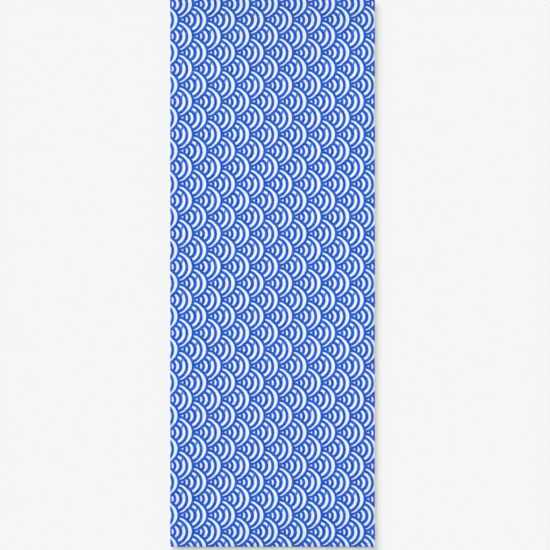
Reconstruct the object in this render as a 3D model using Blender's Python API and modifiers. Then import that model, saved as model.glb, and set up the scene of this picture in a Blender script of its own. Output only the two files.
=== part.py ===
"""A tenugui towel of thin dyed cotton, lying open and nearly flat on a table.

The towel is one cut length of narrow plain-woven cloth. Its long borders are woven
selvedges and its short ends are cut and left without a hem, so it is a single sheet.

Units are metres. X runs across the cloth, Y along it and Z up. The origin is the middle
of the face that the towel lies on, and the table is the plane z = 0.
"""

from collections import namedtuple
import math

import bpy

# Driving dimensions
CLOTH_WIDTH = 0.336  # from selvedge to selvedge
CLOTH_LENGTH = 0.900  # from cut end to cut end
CLOTH_THICKNESS = 0.001

# The middle of the cloth touches the table, and the borders stand a little clear of it
BORDER_LIFT = 0.0024  # height of the underside above the table near the rim
SIDE_SLOPE = 0.110  # how far in from a selvedge the cloth leaves the table
END_SLOPE = 0.125  # how far in from a cut end it does
CORNER_BLEND = 4.0  # a higher power lets two lifted borders meet with less of a peak

# The last of the cloth bends back down
RIM_ROLL = 0.0003  # how far the rim drops
ROLL_WIDTH = 0.012  # width of the strip that drops

# Columns of the grid across the cloth and rows along it, closer together near the rim
COLUMNS = 20
ROWS = 44
RIM_CROWDING = 0.55  # 0 spaces the lines evenly, 1 crowds them most

CLOTH_COLOUR = (0.212, 0.337, 0.687, 1.0)  # blue print and white ground, seen together
CLOTH_ROUGHNESS = 0.88
CLOTH_METALLIC = 0.0

# Slow waves along the lifted borders. Centre is the place along the border, reach the
# distance to either end of the wave, and rise what its middle adds to the lift
EdgeWave = namedtuple("EdgeWave", "border centre reach rise")
EDGE_WAVES = (
    EdgeWave("left", -0.335, 0.105, 0.00030),
    EdgeWave("left", -0.150, 0.090, -0.00020),
    EdgeWave("left", 0.060, 0.130, 0.00022),
    EdgeWave("left", 0.290, 0.110, -0.00018),
    EdgeWave("right", -0.270, 0.120, -0.00022),
    EdgeWave("right", -0.040, 0.100, 0.00026),
    EdgeWave("right", 0.165, 0.090, -0.00016),
    EdgeWave("right", 0.360, 0.090, 0.00030),
    EdgeWave("near", -0.085, 0.075, 0.00024),
    EdgeWave("near", 0.070, 0.080, -0.00018),
    EdgeWave("far", -0.050, 0.090, -0.00020),
    EdgeWave("far", 0.110, 0.060, 0.00028),
)


def clear_scene():
    """Removes every object that the file opened with."""
    for thing in list(bpy.data.objects):
        bpy.data.objects.remove(thing, do_unlink=True)


def ease(amount):
    """Rises smoothly from 0 to 1 as amount does, and stays level outside that range."""
    amount = min(max(amount, 0.0), 1.0)
    return amount * amount * (3.0 - 2.0 * amount)


def crowd_to_rim(place):
    """Moves a line of the grid at place, from -1 to 1, nearer to the rim on its side."""
    crowded = math.sin(place * math.pi / 2.0)
    return place + RIM_CROWDING * (crowded - place)


def wave_rise(border, along):
    """What the slow waves add to a border's lift at a place along it."""
    rise = 0.0
    for wave in EDGE_WAVES:
        if wave.border == border:
            rise += wave.rise * ease(1.0 - abs(along - wave.centre) / wave.reach)
    return rise


def border_height(border, inset, slope, along):
    """Height that one border gives the cloth, inset from the rim and along the border."""
    return (BORDER_LIFT + wave_rise(border, along)) * ease(1.0 - inset / slope)


def underside_height(x, y):
    """Height of the cloth's underside above the table."""
    side_inset = CLOTH_WIDTH / 2.0 - abs(x)
    end_inset = CLOTH_LENGTH / 2.0 - abs(y)
    side = border_height("right" if x > 0.0 else "left", side_inset, SIDE_SLOPE, y)
    end = border_height("far" if y > 0.0 else "near", end_inset, END_SLOPE, x)
    lift = (side**CORNER_BLEND + end**CORNER_BLEND) ** (1.0 / CORNER_BLEND)
    drop = RIM_ROLL * (1.0 - min(side_inset, end_inset, ROLL_WIDTH) / ROLL_WIDTH) ** 2
    return lift - drop


def cloth_material():
    material = bpy.data.materials.new("dyed_cotton")
    material.use_nodes = True
    shader = material.node_tree.nodes["Principled BSDF"]
    shader.inputs["Base Color"].default_value = CLOTH_COLOUR
    shader.inputs["Roughness"].default_value = CLOTH_ROUGHNESS
    shader.inputs["Metallic"].default_value = CLOTH_METALLIC
    return material


def make_cloth(collection):
    """The towel: a grid of the underside, thickened upwards."""
    bpy.ops.mesh.primitive_grid_add(
        x_subdivisions=COLUMNS, y_subdivisions=ROWS, size=2.0, location=(0.0, 0.0, 0.0)
    )
    cloth = bpy.context.active_object
    cloth.name = "tenugui_cloth"
    cloth.data.name = "tenugui_cloth"
    for vertex in cloth.data.vertices:
        x = crowd_to_rim(vertex.co.x) * CLOTH_WIDTH / 2.0
        y = crowd_to_rim(vertex.co.y) * CLOTH_LENGTH / 2.0
        vertex.co = (x, y, underside_height(x, y))
    cloth.data.shade_smooth()

    thickness = cloth.modifiers.new("cloth thickness", "SOLIDIFY")
    thickness.thickness = CLOTH_THICKNESS
    thickness.offset = 1.0
    cloth.data.materials.append(cloth_material())

    for holder in list(cloth.users_collection):
        holder.objects.unlink(cloth)
    collection.objects.link(cloth)
    return cloth


def main():
    clear_scene()
    towel = bpy.data.collections.new("tenugui_towel")
    bpy.context.scene.collection.children.link(towel)
    make_cloth(towel)


main()
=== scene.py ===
"""A tenugui towel of thin dyed cotton, laid open on a pale table and seen from above."""

from collections import namedtuple
import math
import random

import bmesh
import bpy
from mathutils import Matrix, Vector


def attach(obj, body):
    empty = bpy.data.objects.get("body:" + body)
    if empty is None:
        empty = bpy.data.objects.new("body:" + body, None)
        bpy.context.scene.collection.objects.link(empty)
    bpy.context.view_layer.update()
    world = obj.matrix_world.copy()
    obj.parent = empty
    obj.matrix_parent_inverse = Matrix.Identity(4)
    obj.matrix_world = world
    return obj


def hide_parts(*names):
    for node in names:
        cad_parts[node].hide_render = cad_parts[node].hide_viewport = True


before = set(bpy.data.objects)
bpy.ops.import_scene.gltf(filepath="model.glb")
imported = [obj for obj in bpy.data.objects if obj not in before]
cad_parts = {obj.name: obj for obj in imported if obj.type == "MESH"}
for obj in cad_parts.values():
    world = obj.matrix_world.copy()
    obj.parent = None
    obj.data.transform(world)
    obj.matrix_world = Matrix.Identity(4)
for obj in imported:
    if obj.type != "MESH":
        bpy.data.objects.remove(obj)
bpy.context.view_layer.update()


# The cloth is one length of thin plain-woven cotton, cut from a narrow bolt. Its long
# borders are selvedges, woven a little thicker, and its ends are cut without a hem.
# It lies flat on the table in the middle and stands a little clear of it at the rim.

CLOTH_WIDTH = 0.336
CLOTH_LENGTH = 0.900
WOVEN_LENGTH = 0.8996  # between the last wefts, which the cut warp threads stand past
CLOTH_THICKNESS = 0.0006
CLOTH_COLUMNS = 112
CLOTH_ROWS = 296
RIM_CROWDING = 0.55  # 0 spaces the rows and columns evenly, 1 crowds them to the rim

BORDER_LIFT = 0.0024  # height of the underside above the table near the rim
SIDE_SLOPE = 0.110  # how far in from a selvedge the cloth leaves the table
END_SLOPE = 0.125
CORNER_BLEND = 4.0  # a higher power lets two lifted borders meet with less of a peak
RIM_ROLL = 0.0003  # how far the rim turns back down
ROLL_WIDTH = 0.012

SELVEDGE_WIDTH = 0.0045
SELVEDGE_FOOT = 1.3  # how far in its thickening starts, in widths of the selvedge
BODY_THICKNESS_SHARE = 0.8  # of the selvedge's thickness
RIM_ROUNDING = 0.00014

# Slow waves along the lifted borders, the same as in the solid
EdgeWave = namedtuple("EdgeWave", "border centre reach rise")
EDGE_WAVES = (
    EdgeWave("left", -0.335, 0.105, 0.00030),
    EdgeWave("left", -0.150, 0.090, -0.00020),
    EdgeWave("left", 0.060, 0.130, 0.00022),
    EdgeWave("left", 0.290, 0.110, -0.00018),
    EdgeWave("right", -0.270, 0.120, -0.00022),
    EdgeWave("right", -0.040, 0.100, 0.00026),
    EdgeWave("right", 0.165, 0.090, -0.00016),
    EdgeWave("right", 0.360, 0.090, 0.00030),
    EdgeWave("near", -0.085, 0.075, 0.00024),
    EdgeWave("near", 0.070, 0.080, -0.00018),
    EdgeWave("far", -0.050, 0.090, -0.00020),
    EdgeWave("far", 0.110, 0.060, 0.00028),
)

# Faint ripples that the cloth keeps in its middle: where each one's crest passes, the way
# the crest runs, its length and width, and how high it stands
Ripple = namedtuple("Ripple", "x y degrees length width rise")
RIPPLES = (
    Ripple(-0.060, 0.240, 8.0, 0.26, 0.060, 0.00022),
    Ripple(0.075, 0.120, 97.0, 0.34, 0.075, 0.00020),
    Ripple(-0.085, -0.030, 84.0, 0.40, 0.065, 0.00024),
    Ripple(0.030, -0.140, 12.0, 0.28, 0.080, 0.00018),
    Ripple(0.090, -0.260, 102.0, 0.26, 0.060, 0.00022),
    Ripple(-0.040, -0.330, -6.0, 0.24, 0.070, 0.00020),
    Ripple(0.045, 0.340, 88.0, 0.22, 0.055, 0.00018),
)

# Small waves that the tight selvedge weaves into the cloth beside it
PUCKER_RISE = 0.00011
PUCKER_REACH = 0.022
PUCKER_LENGTHS = (0.0213, 0.0347)

WANDER = 0.00022  # how far the outline strays from straight
WANDER_LENGTHS = (0.083, 0.211)
WANDER_TURN = 40.0  # sets the stray waves of the four borders out of step
SIDE_STRAY_POWER = 6  # a high power lets a border stray and leaves the cloth inside it still
END_STRAY_POWER = 8


def ease(amount):
    """Rises smoothly from 0 to 1 as amount does, and stays level outside that range."""
    amount = min(max(amount, 0.0), 1.0)
    return amount * amount * (3.0 - 2.0 * amount)


def crowd_to_rim(place):
    """Moves a line of the grid at place, from -1 to 1, nearer to the rim on its side."""
    return place + RIM_CROWDING * (math.sin(place * math.pi / 2.0) - place)


def border_height(border, inset, slope, along):
    """Height that one border gives the cloth, inset from the rim and along the border."""
    lift = BORDER_LIFT
    for wave in EDGE_WAVES:
        if wave.border == border:
            lift += wave.rise * ease(1.0 - abs(along - wave.centre) / wave.reach)
    return lift * ease(1.0 - inset / slope)


def ripple_height(x, y):
    height = 0.0
    for ripple in RIPPLES:
        turn = math.radians(ripple.degrees)
        dx = x - ripple.x
        dy = y - ripple.y
        along = dx * math.cos(turn) + dy * math.sin(turn)
        across = dy * math.cos(turn) - dx * math.sin(turn)
        height += (
            ripple.rise
            * ease(1.0 - 2.0 * abs(along) / ripple.length)
            * ease(1.0 - abs(across) / ripple.width)
        )
    return height


def pucker_height(inset, along, side):
    """Height of the small waves beside a selvedge, which side sets out of step."""
    wave = sum(math.sin(math.tau * along / length + side) for length in PUCKER_LENGTHS)
    return PUCKER_RISE * (1.0 + wave / 2.0) * ease(1.0 - inset / PUCKER_REACH)


def underside_height(x, y):
    """Height of the cloth's underside above the table."""
    side_inset = max(CLOTH_WIDTH / 2.0 - abs(x), 0.0)
    end_inset = max(CLOTH_LENGTH / 2.0 - abs(y), 0.0)
    side = border_height("right" if x > 0.0 else "left", side_inset, SIDE_SLOPE, y)
    end = border_height("far" if y > 0.0 else "near", end_inset, END_SLOPE, x)
    lift = (side**CORNER_BLEND + end**CORNER_BLEND) ** (1.0 / CORNER_BLEND)
    drop = RIM_ROLL * (1.0 - min(side_inset, end_inset, ROLL_WIDTH) / ROLL_WIDTH) ** 2
    pucker = pucker_height(side_inset, y, math.copysign(1.0, x))
    return lift - drop + ripple_height(x, y) + pucker


def wander(along, start):
    """How far a border strays at a place along it. start tells the borders apart."""
    waves = 0.0
    for length in WANDER_LENGTHS:
        waves += math.sin(math.tau * along / length + start * length * WANDER_TURN)
    return WANDER * waves / len(WANDER_LENGTHS)


def leave_nothing_selected():
    for thing in bpy.context.selected_objects:
        thing.select_set(False)


def apply_modifiers(piece):
    leave_nothing_selected()
    piece.select_set(True)
    bpy.context.view_layer.objects.active = piece
    for modifier in list(piece.modifiers):
        bpy.ops.object.modifier_apply(modifier=modifier.name)


leave_nothing_selected()
bpy.ops.mesh.primitive_grid_add(
    x_subdivisions=CLOTH_COLUMNS, y_subdivisions=CLOTH_ROWS, size=2.0, location=(0, 0, 0)
)
cloth = bpy.context.active_object
cloth.name = "cotton_cloth"
selvedge = cloth.vertex_groups.new(name="selvedge")
for vertex in cloth.data.vertices:
    across, along = crowd_to_rim(vertex.co.x), crowd_to_rim(vertex.co.y)
    x = across * CLOTH_WIDTH / 2.0
    y = along * WOVEN_LENGTH / 2.0
    x += wander(y, math.copysign(1.0, across)) * across**SIDE_STRAY_POWER
    y += wander(x, math.copysign(2.0, along)) * along**END_STRAY_POWER
    vertex.co = (x, y, underside_height(x, y))
    inset = CLOTH_WIDTH / 2.0 - abs(x)
    edge_share = ease(SELVEDGE_FOOT - inset / SELVEDGE_WIDTH)
    share = BODY_THICKNESS_SHARE + (1.0 - BODY_THICKNESS_SHARE) * edge_share
    selvedge.add([vertex.index], share, "REPLACE")

thickness = cloth.modifiers.new("thickness", "SOLIDIFY")
thickness.thickness = CLOTH_THICKNESS
thickness.offset = 1.0
thickness.vertex_group = "selvedge"
rounding = cloth.modifiers.new("round rim", "BEVEL")
rounding.width = RIM_ROUNDING
rounding.segments = 2
rounding.limit_method = "ANGLE"
rounding.angle_limit = math.radians(60.0)
rounding.harden_normals = True
cloth.data.shade_smooth()
apply_modifiers(cloth)

# The map that colours are stored on: the face in the left half and the back in the right.
# The rim's faces hang over the edge of the half that they belong to.
MAP_MARGIN = 0.008
MAP_HALF = 0.5
RIM_IN_MAP = 0.0025  # how far a rim face reaches past the cloth's outline in the map


def lay_out_map(piece, width, length):
    """Gives each corner of the piece its place in the map, as seen from above or below."""
    mesh = piece.data
    for old in list(mesh.uv_layers):
        mesh.uv_layers.remove(old)
    places = mesh.uv_layers.new(name="OFBake").data
    for polygon in mesh.polygons:
        back = polygon.normal.z < -0.5
        rim = abs(polygon.normal.z) < 0.9
        for corner in polygon.loop_indices:
            point = mesh.vertices[mesh.loops[corner].vertex_index].co
            x, y = point.x, point.y
            if rim:
                low = 1.0 - (point.z - underside_height(x, y)) / CLOTH_THICKNESS
                x += math.copysign(RIM_IN_MAP, x) * low * (abs(polygon.normal.x) > 0.3)
                y += math.copysign(RIM_IN_MAP, y) * low * (abs(polygon.normal.y) > 0.3)
            across = MAP_MARGIN + (0.5 + x / (width + 4 * RIM_IN_MAP)) * (
                MAP_HALF - 2 * MAP_MARGIN
            )
            up = MAP_MARGIN + (0.5 + y / (length + 4 * RIM_IN_MAP)) * (1 - 2 * MAP_MARGIN)
            places[corner].uv = (across + (MAP_HALF if back else 0.0), up)


lay_out_map(cloth, CLOTH_WIDTH, CLOTH_LENGTH)


class Wire:
    """A number carried between shader nodes, so that sums of them read like sums."""

    def __init__(self, tree, socket):
        self.tree = tree
        self.socket = socket

    def math(self, operation, *others):
        node = self.tree.nodes.new("ShaderNodeMath")
        node.operation = operation
        for slot, value in zip(node.inputs, (self, *others)):
            if isinstance(value, Wire):
                self.tree.links.new(value.socket, slot)
            else:
                slot.default_value = value
        return Wire(self.tree, node.outputs[0])

    def __add__(self, other):
        return self.math("ADD", other)

    def __sub__(self, other):
        return self.math("SUBTRACT", other)

    def __rsub__(self, other):
        return (self * -1.0) + other

    def __mul__(self, other):
        return self.math("MULTIPLY", other)

    __radd__ = __add__

    def least(self, other):
        return self.math("MINIMUM", other)

    def most(self, other):
        return self.math("MAXIMUM", other)

    def size(self):
        return self.math("ABSOLUTE")

    def below(self, other):
        return self.math("LESS_THAN", other)

    def pick(self, if_one, if_zero):
        """if_one where this is 1 and if_zero where it is 0."""
        return if_zero + self * (if_one - if_zero)

    def ramp(self, start, end):
        """Rises smoothly from 0 at start to 1 at end."""
        node = self.tree.nodes.new("ShaderNodeMapRange")
        node.interpolation_type = "SMOOTHSTEP"
        self.tree.links.new(self.socket, node.inputs["Value"])
        node.inputs["From Min"].default_value = start
        node.inputs["From Max"].default_value = end
        return Wire(self.tree, node.outputs["Result"])


def far(x, y):
    """Distance from the origin to a point given by two wires."""
    return (x * x + y * y).math("SQRT")


def wrap(value, period):
    """The value less its nearest multiple of the period."""
    return value - (value * (1.0 / period)).math("ROUND") * period


def grain(x, y, across, along, roughness=0.5, detail=2.0):
    """Smooth noise from about 0 to 1, in patches of the given sizes."""
    tree = x.tree
    place = tree.nodes.new("ShaderNodeCombineXYZ")
    tree.links.new((x * (1.0 / across)).socket, place.inputs[0])
    tree.links.new((y * (1.0 / along)).socket, place.inputs[1])
    noise = tree.nodes.new("ShaderNodeTexNoise")
    noise.inputs["Scale"].default_value = 1.0
    noise.inputs["Detail"].default_value = detail
    noise.inputs["Roughness"].default_value = roughness
    tree.links.new(place.outputs[0], noise.inputs["Vector"])
    return Wire(tree, noise.outputs["Fac"])


def blend(tree, amount, first, second, way="MIX"):
    """The colour between two colours, each a socket or a plain tuple."""
    node = tree.nodes.new("ShaderNodeMix")
    node.data_type = "RGBA"
    node.blend_type = way
    if isinstance(amount, Wire):
        tree.links.new(amount.socket, node.inputs["Factor"])
    else:
        node.inputs["Factor"].default_value = amount
    for name, colour in (("A", first), ("B", second)):
        slot = next(s for s in node.inputs if s.name == name and s.type == "RGBA")
        if isinstance(colour, tuple):
            slot.default_value = (*colour, 1.0)
        else:
            tree.links.new(colour, slot)
    return next(s for s in node.outputs if s.type == "RGBA")


# The dyer's pattern is the traditional one of overlapping waves, resisted in white on a
# blue ground. Each wave is a disc of white crescents, and the discs lie in columns. A
# column covers part of the one to its right. All sizes here are in millimetres.
WAVE_PITCH = 47.06  # from a column to the next but one
WAVE_SPACING = 54.37  # from a wave to the next in its column
COLUMN_PITCH = WAVE_PITCH / 2.0
WAVE_RADIUS = 26.0
WAVE_LIFT = 0.3  # of the discs' middles above the axes of their crescents
FIRST_WAVE = (9.5, -17.05)  # middle of the disc nearest to the towel's

# A crescent lies inside its outer circle and outside its inner one, and reaches so many
# degrees round from the axis of its wave. The circles' middles are measured from the middle
# of the disc, positive towards the crest, and their lifts are across that axis. The aside
# sets two outer circles that far to either side of it
Crescent = namedtuple(
    "Crescent",
    "outer_middle outer_radius outer_lift aside inner_middle inner_radius inner_lift reach",
)
OUTER_CRESCENT = Crescent(2.2, 20.85, 0.40, 0.0, -5.7, 22.15, -0.2, 90.5)
OUTER_TIPS = Crescent(2.2, 14.15, 0.45, 9.0, -5.7, 22.15, -0.2, 90.5)
CUT_CRESCENT = Crescent(-5.85, 18.53, 0.0, 0.0, -7.67, 14.49, 0.0, 71.0)
INNER_CRESCENT = Crescent(-9.2, 11.46, 0.1, 0.0, -13.0, 9.93, -0.3, 68.0)
BAR = Crescent(-13.2, 6.37, 0.0, 0.0, -18.7, 7.73, 0.0, 60.0)
END_LEAN = 0.5  # how much higher than the axis the crescents' ends are centred

# The second crescent is cut in two by a slanting gap above the axis, with a line of thin
# dye beside the short piece at its end
GAP_TURN = 66.0
GAP_PLACE = 2.2
GAP_WIDTH = 2.4
THIN_LINE_PLACE = 2.4
THIN_LINE_DEPTH = 0.34
THIN_LINE_FALL = 0.50

# The column beside the right selvedge has only a faint trace of that gap
LAST_CUT_COLUMN = 5  # counted from the first wave's
GAP_FILLED = 1.5

# The wedge at the heart of the wave
WEDGE_TIP = -19.8
WEDGE_BACK = -14.5
WEDGE_RISE = 0.5
WEDGE_SPREAD = 0.445

DYE_CREEP = 0.44  # how far the dye creeps in under the edge of the resist
DYE_EDGE = 0.70  # half the width over which white turns to blue
DYE_WICK = 0.80  # how unevenly the dye runs along single threads at that edge
WICK_WIDTH = 0.45
WICK_LENGTH = 2.4
DYE_STRAY = 0.40  # how far that edge strays
STRAY_PATCH = 3.0
STRAY_SHIFT = 71.0  # keeps the two directions that it strays in out of step

# Towards its ends the print runs out of true, and a little more on one side than the other
Drift = namedtuple("Drift", "start finish slip skew")
FAR_DRIFT = Drift(235.0, 435.0, 1.85, -0.20)
NEAR_DRIFT = Drift(60.0, 340.0, 0.95, 0.45)

# The borders turn down a little and draw the print in with them: where each pull starts,
# and how far it has moved the print at the border
Pull = namedtuple("Pull", "start slip")
LEFT_PULL = Pull(157.0, 0.5)
RIGHT_PULL = Pull(152.0, 1.1)
NEAR_PULL = Pull(395.0, 0.75)
FAR_PULL = Pull(412.0, 1.5)

WHITE = (0.728, 0.772, 0.846)
THIN_BLUE = (0.150, 0.334, 0.656)
BLUE = (0.0290, 0.1295, 0.6150)
DEEP_BLUE = (0.0042, 0.0490, 0.3350)
# The borders' tinge of dye with painted shade, and the painted shade at the cut ends
RIM_TINGE_AND_SHADE = (0.905, 0.925, 0.942)
END_SHADE = (0.80, 0.82, 0.85)
BACK_FADE = 0.10  # how much paler the blue is on the back

# The dye takes unevenly, in soft patches and along single threads: the size of the marks
# across and along the cloth, the kind of noise, and how much they count in blue and white
Mottle = namedtuple("Mottle", "across along roughness detail in_blue in_white")
MOTTLES = (
    Mottle(8.0, 8.0, 0.65, 3.0, 1.4, 0.0),
    Mottle(2.8, 2.8, 0.6, 2.0, 1.1, 0.05),
    Mottle(0.9, 42.0, 0.5, 2.0, 0.5, 0.09),
    Mottle(38.0, 1.1, 0.5, 2.0, 0.4, 0.07),
)
PALE_DEPTH = 1.25  # the mottles' sum where the blue is palest
FULL_DEPTH = 2.15
DARKEST_WHITE = 0.895

# A faint tinge of dye and painted shade darken the borders, and part of the near one spreads
# further in. Painted shade darkens the cut ends among their loose threads. Each of them starts
# so far from the middle of the cloth and is full so far out
Zone = namedtuple("Zone", "start full")
SIDE_TINGE_AND_SHADE = Zone(154.0, 158.5)
SIDE_SHARE = 0.70  # of the strength that the tinge and painted shade have at the ends
NEAR_TINGE_AND_SHADE = Zone(350.0, 430.0)
NEAR_TINGE_AND_SHADE_SPREAD = Zone(130.0, 340.0)
SPREAD_SHARE = 0.32
FAR_TINGE_AND_SHADE = Zone(398.0, 440.0)
END_TINGE_AND_SHADE_DEPTH = 0.03  # what the ends' tinge and painted shade add to the mottles' sum, deepening the blue there
LOOSE_THREADS = Zone(447.6, 449.6)

# Painted light and shade: the cotton's colour is a little darker on the right of the second of
# these places than on the left of the first, which evens out the low lamps' shading of the
# borders
DARKER_SIDE = Zone(-130.0, 130.0)
DARKER_SHARE = 0.035
HALF_WIDTH = CLOTH_WIDTH * 500.0
HALF_LENGTH = CLOTH_LENGTH * 500.0


def crescent(dx, dy, shape):
    """Distance into a crescent, negative outside it."""
    across = (dy - shape.outer_lift).size() - shape.aside
    inside = shape.outer_radius - far(dx - shape.outer_middle, across)
    outside = far(dx - shape.inner_middle, dy - shape.inner_lift) - shape.inner_radius
    reach = math.radians(shape.reach)
    end = (dx - shape.outer_middle) * math.sin(reach)
    end = end - (dy - END_LEAN).size() * math.cos(reach)
    return inside.least(outside).least(end)


def white_distance(x, y):
    """Distance in millimetres into the white of the pattern, negative in the blue."""
    column = (x * (1.0 / COLUMN_PITCH)).math("FLOOR")
    step = x - column * COLUMN_PITCH
    odd = column.math("FLOORED_MODULO", 2.0)
    own = wrap(y - odd * (WAVE_SPACING / 2.0), WAVE_SPACING)
    other = wrap(y - (1.0 - odd) * (WAVE_SPACING / 2.0), WAVE_SPACING)

    # The wave on top belongs to the column on the left, or else to this one or the next
    left_distance = far(step + COLUMN_PITCH, other - WAVE_LIFT)
    own_distance = far(step, own - WAVE_LIFT)
    on_left = left_distance.below(WAVE_RADIUS)
    on_own = own_distance.below(WAVE_RADIUS)
    number = on_left.pick(column - 1.0, on_own.pick(column, column + 1.0))
    dx = on_left.pick(step + COLUMN_PITCH, on_own.pick(step, step - COLUMN_PITCH))
    dy = on_left.pick(other, on_own.pick(own, other))

    # A wave's print stops at the rim of the disc that covers it, and nothing covers the top one
    covered = on_own.pick(left_distance - WAVE_RADIUS, own_distance - WAVE_RADIUS)
    clear = on_left.pick(WAVE_RADIUS, covered)

    outer = crescent(dx, dy, OUTER_CRESCENT).most(crescent(dx, dy, OUTER_TIPS))

    turn = math.radians(GAP_TURN)
    beside = dx * math.sin(turn) - dy * math.cos(turn)
    gap = (beside - GAP_PLACE).size() - GAP_WIDTH / 2.0
    gap = gap + (1.0 - number.below(LAST_CUT_COLUMN + 0.5)) * GAP_FILLED
    thin_line = THIN_LINE_DEPTH - (beside - THIN_LINE_PLACE).size() * THIN_LINE_FALL
    cut = crescent(dx, dy, CUT_CRESCENT).least(gap.most(thin_line))

    spread = (dx - WEDGE_TIP) * WEDGE_SPREAD - (dy - WEDGE_RISE).size()
    wedge = spread.least(WEDGE_BACK - dx)
    inner = crescent(dx, dy, INNER_CRESCENT).most(crescent(dx, dy, BAR)).most(wedge)
    white = outer.most(cut).most(inner)
    return white.least(clear)


def drawn_in(place, border, low, high):
    """How far the print is moved at a place across the towel, by the pulls at its borders."""
    from_high = place.ramp(high.start, border) * high.slip
    return from_high - (place * -1.0).ramp(low.start, border) * low.slip


def grey(tree, value):
    node = tree.nodes.new("ShaderNodeCombineColor")
    for slot in node.inputs:
        tree.links.new(value.socket, slot)
    return node.outputs[0]


def tinted(tree, colour, tint):
    return blend(tree, 1.0, colour, tint, "MULTIPLY")


def print_distance(x, y):
    """Distance into the white of the print at a place in millimetres from the middle."""
    stray_x = (grain(x, y, STRAY_PATCH, STRAY_PATCH) - 0.5) * (2.0 * DYE_STRAY)
    stray_y = (grain(y + STRAY_SHIFT, x, STRAY_PATCH, STRAY_PATCH) - 0.5) * (2.0 * DYE_STRAY)
    aside = x * (1.0 / HALF_WIDTH)
    drift = 0.0
    for towards, run in ((y, FAR_DRIFT), (y * -1.0, NEAR_DRIFT)):
        drift += towards.ramp(run.start, run.finish) * (aside * run.skew + 1.0) * run.slip
    print_x = x + drawn_in(x, HALF_WIDTH, LEFT_PULL, RIGHT_PULL) + stray_x
    print_y = y + drawn_in(y, HALF_LENGTH, NEAR_PULL, FAR_PULL) + stray_y + drift
    white = white_distance(print_x - FIRST_WAVE[0], print_y - FIRST_WAVE[1])
    wick = grain(x, y, WICK_WIDTH, WICK_LENGTH, detail=1.0)
    wick = wick + grain(x, y, WICK_LENGTH, WICK_WIDTH, detail=1.0)
    return white + (wick - 1.0) * DYE_WICK


def dyed_colour_and_painted_shade(tree, x, y, fade):
    """Colour of the dyed cotton, with painted shade and light in it, at a place in millimetres
    from the towel's middle.
    """
    white = print_distance(x, y)
    thin = white.ramp(DYE_CREEP - DYE_EDGE, DYE_CREEP)
    bare = white.ramp(DYE_CREEP, DYE_CREEP + DYE_EDGE)

    # Painted shade with a faint tinge of dye, stronger at the ends than at the sides
    near = y * -1.0
    near_end = near.ramp(*NEAR_TINGE_AND_SHADE) * (1.0 - SPREAD_SHARE)
    near_end = near_end + near.ramp(*NEAR_TINGE_AND_SHADE_SPREAD) * SPREAD_SHARE
    ends = near_end.most(y.ramp(*FAR_TINGE_AND_SHADE))
    tinge_and_shade = ends.most(x.size().ramp(*SIDE_TINGE_AND_SHADE) * SIDE_SHARE)

    strength = ends * END_TINGE_AND_SHADE_DEPTH
    shade = DARKEST_WHITE
    for mottle in MOTTLES:
        marks = grain(x, y, mottle.across, mottle.along, mottle.roughness, mottle.detail)
        strength = marks * mottle.in_blue + strength
        shade = marks * mottle.in_white + shade
    blue = blend(tree, strength.ramp(PALE_DEPTH, FULL_DEPTH), BLUE, DEEP_BLUE)
    if fade:
        blue = blend(tree, fade, blue, WHITE)
    ground = tinted(tree, WHITE, grey(tree, shade))
    colour = blend(tree, bare, blend(tree, thin, blue, THIN_BLUE), ground)
    # Darkens the colour towards the borders with the tinge of dye and painted shade
    colour = blend(tree, tinge_and_shade, colour, tinted(tree, colour, RIM_TINGE_AND_SHADE))
    # Painted shade over the last two millimetres of the cut ends and their loose threads
    loose = y.size().ramp(*LOOSE_THREADS)
    colour = blend(tree, loose, colour, tinted(tree, colour, END_SHADE))

    # Painted light and shade: half of the difference between the sides is added on the left,
    # and half is taken away on the right
    side_light_and_shade = x.ramp(*DARKER_SIDE) * -DARKER_SHARE + (1.0 + DARKER_SHARE / 2.0)
    return tinted(tree, colour, grey(tree, side_light_and_shade))


# The weave, in millimetres. Threads wobble by part of their pitch, over long stretches
THREAD_PITCH = 0.50
THREAD_WOBBLE = 0.6
WOBBLE_LENGTH = 60.0
WOBBLE_WIDTH = 4.0
CROSSING_DIP = 0.45  # how much lower a thread lies where it is about to pass under
SELVEDGE_RIBS = 0.75  # how much the selvedge's close warp threads show
RIB_CROWDING = 1.5  # how many of them lie in one pitch
RIBS_FULL = 3.0  # how far in from the border the ribs are at their full height
THREAD_RELIEF = 0.000045  # metres from the crest of a thread to the hollow beside it
SLUB_RELIEF = 0.6  # of that, for the thick places in single threads
WARP_SLUB = (0.8, 14.0)  # the size of such a place across and along the cloth
WEFT_SLUB = (12.0, 0.9)


def weave_height(x, y):
    """Height of a plain weave from 0 to 1: each thread bows over one and under the next."""
    warp_wobble = (grain(x, y, WOBBLE_WIDTH, WOBBLE_LENGTH) - 0.5) * THREAD_WOBBLE
    weft_wobble = (grain(x, y, WOBBLE_LENGTH, WOBBLE_WIDTH) - 0.5) * THREAD_WOBBLE
    warp = x * (1.0 / THREAD_PITCH) + warp_wobble
    weft = y * (1.0 / THREAD_PITCH) + weft_wobble
    warp_step = warp.math("FLOOR")
    weft_step = weft.math("FLOOR")
    across_warp = ((warp - warp_step) * math.pi).math("SINE")
    across_weft = ((weft - weft_step) * math.pi).math("SINE")
    odd = (warp_step + weft_step).math("FLOORED_MODULO", 2.0)
    warp_up = across_warp * (across_weft * CROSSING_DIP + (1.0 - CROSSING_DIP))
    weft_up = across_weft * (across_warp * CROSSING_DIP + (1.0 - CROSSING_DIP))
    woven = odd.pick(warp_up, weft_up)
    selvedge_start = HALF_WIDTH - SELVEDGE_WIDTH * 1000.0
    ribbed = x.size().ramp(selvedge_start, HALF_WIDTH - RIBS_FULL)
    ribs = ((warp * RIB_CROWDING).math("FRACT") * math.pi).math("SINE")
    return woven + (ribs - woven) * ribbed * SELVEDGE_RIBS


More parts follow.
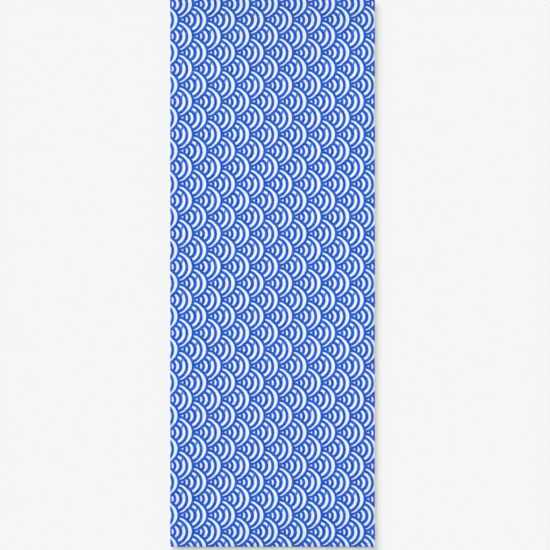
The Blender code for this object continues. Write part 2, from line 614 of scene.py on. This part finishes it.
COTTON_ROUGHNESS = 0.95  # in the hollows between threads
CREST_SMOOTHING = 0.08  # how much less rough their crests are
THREAD_END_ROUGHNESS = 0.9
COTTON_SPECULAR = 0.12
COTTON_SHEEN = 0.06
SHEEN_ROUGHNESS = 0.5


def cotton_material(name, fade=0.0, woven=True):
    """Dyed cotton. fade is how much paler its blue is, and single threads have no weave."""
    material = bpy.data.materials.new(name)
    material.use_nodes = True
    tree = material.node_tree
    shader = tree.nodes["Principled BSDF"]
    shader.inputs["Specular IOR Level"].default_value = COTTON_SPECULAR
    shader.inputs["Sheen Weight"].default_value = COTTON_SHEEN
    shader.inputs["Sheen Roughness"].default_value = SHEEN_ROUGHNESS

    place = tree.nodes.new("ShaderNodeTexCoord")
    split = tree.nodes.new("ShaderNodeSeparateXYZ")
    tree.links.new(place.outputs["Object"], split.inputs[0])
    x = Wire(tree, split.outputs["X"]) * 1000.0
    y = Wire(tree, split.outputs["Y"]) * 1000.0
    tree.links.new(dyed_colour_and_painted_shade(tree, x, y, fade), shader.inputs["Base Color"])
    if not woven:
        shader.inputs["Roughness"].default_value = THREAD_END_ROUGHNESS
        return material

    relief = weave_height(x, y)
    slubs = grain(x, y, *WARP_SLUB) + grain(x, y, *WEFT_SLUB)
    roughness = COTTON_ROUGHNESS - relief * CREST_SMOOTHING
    tree.links.new(roughness.socket, shader.inputs["Roughness"])
    bump = tree.nodes.new("ShaderNodeBump")
    bump.inputs["Distance"].default_value = THREAD_RELIEF
    bump.inputs["Strength"].default_value = 1.0
    tree.links.new((relief + slubs * SLUB_RELIEF).socket, bump.inputs["Height"])
    tree.links.new(bump.outputs[0], shader.inputs["Normal"])
    return material


cloth.data.materials.clear()
cloth.data.materials.append(cotton_material("dyed cotton, face"))
cloth.data.materials.append(cotton_material("dyed cotton, back", fade=BACK_FADE))
for polygon in cloth.data.polygons:
    polygon.material_index = 1 if polygon.normal.z < -0.5 else 0

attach(cloth, "root")
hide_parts("tenugui_cloth")


# The cut ends show the ends of the warp threads, which stand a little past the last weft.
# They are single-ply cotton, dyed with the rest of the cloth and left to fluff in use.

THREAD_ENDS = 640
THREAD_WIDTH = 0.00034
THREAD_SHORTEST = 0.00015
THREAD_LONGEST = 0.00065
THREAD_ROOT = 0.0012  # how far a thread end starts inside the cloth
THREAD_SWAY = 0.00028
THREAD_LIFT = 0.5  # how far its tip strays up or down, of how far it does sideways
THREAD_FLATNESS = 0.8  # its height, of its width
ROW_MARGIN = 0.0008  # between a selvedge and the middle of the first thread
THREAD_BEND = 0.1  # how far past its middle it bends most, of its length


def thread_ends(name, end, seed):
    """A row of thread ends along one cut end. end is 1 at the far end and -1 at the near."""
    draws = random.Random(seed)
    leave_nothing_selected()
    bpy.ops.mesh.primitive_cone_add(
        vertices=5, radius1=THREAD_WIDTH / 2, radius2=THREAD_WIDTH / 4, depth=1.0
    )
    row = bpy.context.active_object
    row.name = name
    bpy.ops.object.mode_set(mode="EDIT")
    bpy.ops.mesh.select_all(action="SELECT")
    bpy.ops.mesh.bisect(plane_co=(0, 0, THREAD_BEND), plane_no=(0, 0, 1))
    bpy.ops.object.mode_set(mode="OBJECT")
    points = len(row.data.vertices)
    copies = row.modifiers.new("threads", "ARRAY")
    copies.count = THREAD_ENDS
    copies.use_relative_offset = False
    copies.use_constant_offset = True
    pitch = (CLOTH_WIDTH - 2 * ROW_MARGIN) / (THREAD_ENDS - 1)
    copies.constant_offset_displace = (pitch, 0.0, 0.0)
    apply_modifiers(row)

    for thread in range(THREAD_ENDS):
        length = draws.uniform(THREAD_SHORTEST, THREAD_LONGEST)
        sway = draws.uniform(-THREAD_SWAY, THREAD_SWAY)
        lift = draws.uniform(-THREAD_SWAY, THREAD_SWAY) * THREAD_LIFT
        middle = -CLOTH_WIDTH / 2 + ROW_MARGIN + thread * pitch
        base = underside_height(middle, end * WOVEN_LENGTH / 2)
        base += CLOTH_THICKNESS * BODY_THICKNESS_SHARE / 2
        for vertex in row.data.vertices[thread * points : (thread + 1) * points]:
            reach = vertex.co.z + 0.5
            beside = vertex.co.x - thread * pitch
            x = middle + beside + sway * reach * reach
            inner = WOVEN_LENGTH / 2 - THREAD_ROOT
            y = end * (inner + (THREAD_ROOT + length) * reach)
            vertex.co = (x, y, base + vertex.co.y * THREAD_FLATNESS + lift * reach * reach)
    shell = bmesh.new()
    shell.from_mesh(row.data)
    bmesh.ops.recalc_face_normals(shell, faces=shell.faces)
    shell.to_mesh(row.data)
    shell.free()
    row.data.shade_smooth()
    row.data.materials.append(thread_material)
    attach(row, "root")
    return row


thread_material = cotton_material("dyed cotton, thread ends", woven=False)
far_threads = thread_ends("far_thread_ends", 1, seed=11)
near_threads = thread_ends("near_thread_ends", -1, seed=12)


# The table is a wide plain pale surface, with even soft light that comes mostly from
# above and partly from low at the upper left, so that the lifted rim casts a soft shadow.

leave_nothing_selected()
bpy.ops.mesh.primitive_plane_add(size=40.0, location=(0, 0, 0))
floor = bpy.context.active_object
floor.name = "floor"
paint = bpy.data.materials.new("pale table")
paint.use_nodes = True
paint_shader = paint.node_tree.nodes["Principled BSDF"]
paint_shader.inputs["Base Color"].default_value = (0.80, 0.80, 0.80, 1.0)
paint_shader.inputs["Roughness"].default_value = 1.0
paint_shader.inputs["Specular IOR Level"].default_value = 0.0
floor.data.materials.append(paint)

# Light that falls on the table, as the total that turns its paint into the right white
TABLE_LIGHT = 3.625
HAZE = 0.85  # how bright the room looks just above the far edge of the table
HAZE_FOOT = 8.0  # degrees above the table where that haze starts to darken
HAZE_TOP = 20.0
ROOM = 0.045  # how bright it looks higher up
LIGHT_FROM = 128.6  # degrees round from +X towards +Y

# Each lamp's height above the table, how far round it stands and its width, all in
# degrees, and its share of the light
Lamp = namedtuple("Lamp", "name height aside width share")
LAMPS = (
    Lamp("lowest right", 12.0, -15.0, 9.0, 0.095),
    Lamp("lowest left", 12.0, 15.0, 9.0, 0.100),
    Lamp("low right", 23.0, -15.0, 16.0, 0.065),
    Lamp("low left", 23.0, 15.0, 16.0, 0.070),
    Lamp("middle", 44.0, -31.0, 28.0, 0.08),
    Lamp("overhead", 80.0, -30.0, 50.0, 0.507),
)
for lamp in LAMPS:
    height = math.radians(lamp.height)
    light = bpy.data.lights.new(lamp.name, "SUN")
    light.angle = math.radians(lamp.width)
    light.energy = TABLE_LIGHT * lamp.share / math.sin(height)
    holder = bpy.data.objects.new(lamp.name, light)
    bpy.context.scene.collection.objects.link(holder)
    turn = math.radians(LIGHT_FROM + lamp.aside)
    towards = Vector(
        (math.cos(turn) * math.cos(height), math.sin(turn) * math.cos(height), math.sin(height))
    )
    holder.rotation_euler = towards.to_track_quat("Z", "Y").to_euler()

world = bpy.data.worlds.new("studio")
bpy.context.scene.world = world
world.use_nodes = True
sky = world.node_tree.nodes["Background"]
sky.inputs["Color"].default_value = (1.0, 1.0, 1.0, 1.0)
direction = world.node_tree.nodes.new("ShaderNodeTexCoord")
steepness = world.node_tree.nodes.new("ShaderNodeSeparateXYZ")
world.node_tree.links.new(direction.outputs["Generated"], steepness.inputs[0])
above = Wire(world.node_tree, steepness.outputs["Z"]).ramp(
    math.sin(math.radians(HAZE_FOOT)), math.sin(math.radians(HAZE_TOP))
)
world.node_tree.links.new((above * (ROOM - HAZE) + HAZE).socket, sky.inputs["Strength"])
bpy.context.scene.view_settings.view_transform = "Standard"

# The camera looks straight down from high above. Its middle is a little off the towel's
VIEW_SIDE = 0.9037  # of the square that it sees at the height of the towel's rim
VIEW_MIDDLE = (0.00412, -0.00322)
RIM_TOP = 0.0027
camera_data = bpy.data.cameras.new("camera")
camera_data.lens = 85.0
camera_data.sensor_width = 36.0
camera = bpy.data.objects.new("camera", camera_data)
bpy.context.scene.collection.objects.link(camera)
camera.location = (
    *VIEW_MIDDLE,
    RIM_TOP + VIEW_SIDE * camera_data.lens / camera_data.sensor_width,
)
bpy.context.scene.camera = camera
